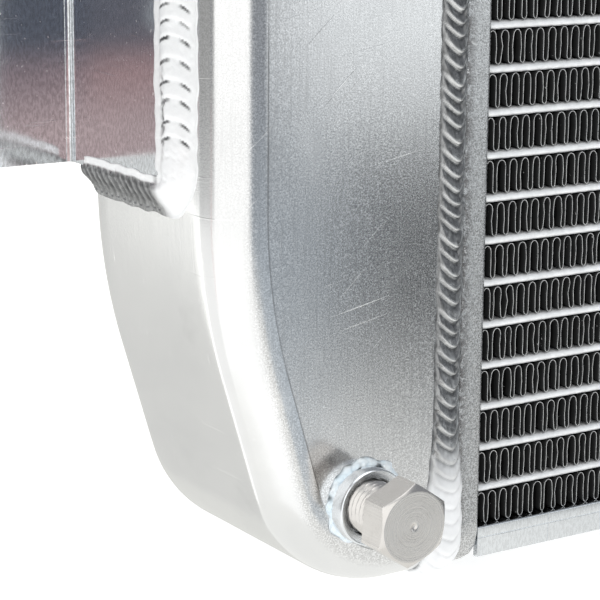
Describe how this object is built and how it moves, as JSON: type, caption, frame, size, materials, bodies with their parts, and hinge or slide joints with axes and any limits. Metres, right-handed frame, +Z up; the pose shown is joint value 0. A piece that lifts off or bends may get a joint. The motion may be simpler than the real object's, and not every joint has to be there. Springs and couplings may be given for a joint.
{
  "type": "car radiator",
  "caption": "Welded aluminium crossflow car radiator: end tanks, finned tube core, side brackets, hose necks, drain plug and sprung pressure cap.",
  "frame": {"origin": "centre of the four bracket bolt holes, on the rear faces of the bracket flanges", "axes": "+X along the core's width, to the right seen from the engine side; +Y to the rear, away from the engine, the way the bracket faces look; +Z up"},
  "size_m": [0.72, 0.1115, 0.4945],
  "materials": {
    "tank_sheet": "satin",
    "bright_sheet": "bright rolled sheet",
    "tube": "satin",
    "fin": "dark, thin foil",
    "weld": "frosted, rippled",
    "turned_aluminium": "turned",
    "plug": "nickel plated, turned face",
    "cap_steel": "bright pressed steel",
    "spring_steel": "wire",
    "valve_brass": "pressed",
    "rubber": "matte"
  },
  "bodies": {
    "root": {"left_tank": "tank_sheet", "right_tank": "tank_sheet", "left_header": "tank_sheet", "right_header": "tank_sheet", "front_tubes": "tube", "rear_tubes": "tube", "fin_strips": "fin", "top_side_plate": "bright_sheet", "bottom_side_plate": "bright_sheet", "left_tank_weld": "weld", "right_tank_weld": "weld", "left_bracket": "bright_sheet", "right_bracket": "bright_sheet", "left_bracket_weld": "weld", "right_bracket_weld": "weld", "inlet_neck": "tank_sheet", "outlet_neck": "tank_sheet", "inlet_neck_weld": "weld", "outlet_neck_weld": "weld", "drain_bung": "turned_aluminium", "drain_bung_weld": "weld", "filler_neck": "turned_aluminium", "filler_neck_weld": "weld", "overflow_nipple": "turned_aluminium"},
    "drain_plug": {"drain_plug": "plug"},
    "cap": {"cap_shell": "cap_steel", "cap_gasket": "rubber", "cap_spring_disc": "cap_steel", "cap_rivet": "cap_steel", "cap_spring_guide": "cap_steel", "cap_spring": "spring_steel"},
    "pressure_valve": {"pressure_valve_plate": "valve_brass", "pressure_valve_gasket": "rubber", "vacuum_spring": "spring_steel"},
    "vacuum_valve": {"vacuum_valve": "valve_brass"}
  },
  "joints": [
    {"name": "drain_plug_turn", "type": "hinge", "parent": "root", "child": "drain_plug", "pos_m": [-0.2796, -0.0715, -0.2064], "axis": [0, -1, 0], "range_deg": [0, 1710]},
    {"name": "cap_turn", "type": "hinge", "parent": "root", "child": "cap", "pos_m": [0.2835, -0.03475, 0.2585], "axis": [0, 0, 1], "range_deg": [0, 90]},
    {"name": "pressure_valve_lift", "type": "slide", "parent": "cap", "child": "pressure_valve", "axis": [0, 0, 1], "range_m": [0, 0.003], "stiffness_N_per_m": 10000, "springref_m": -0.0077, "deforming": ["cap_spring"]},
    {"name": "vacuum_valve_drop", "type": "slide", "parent": "pressure_valve", "child": "vacuum_valve", "axis": [0, 0, -1], "range_m": [0, 0.0015], "stiffness_N_per_m": 100, "springref_m": -0.0015, "deforming": ["vacuum_spring"]}
  ]
}
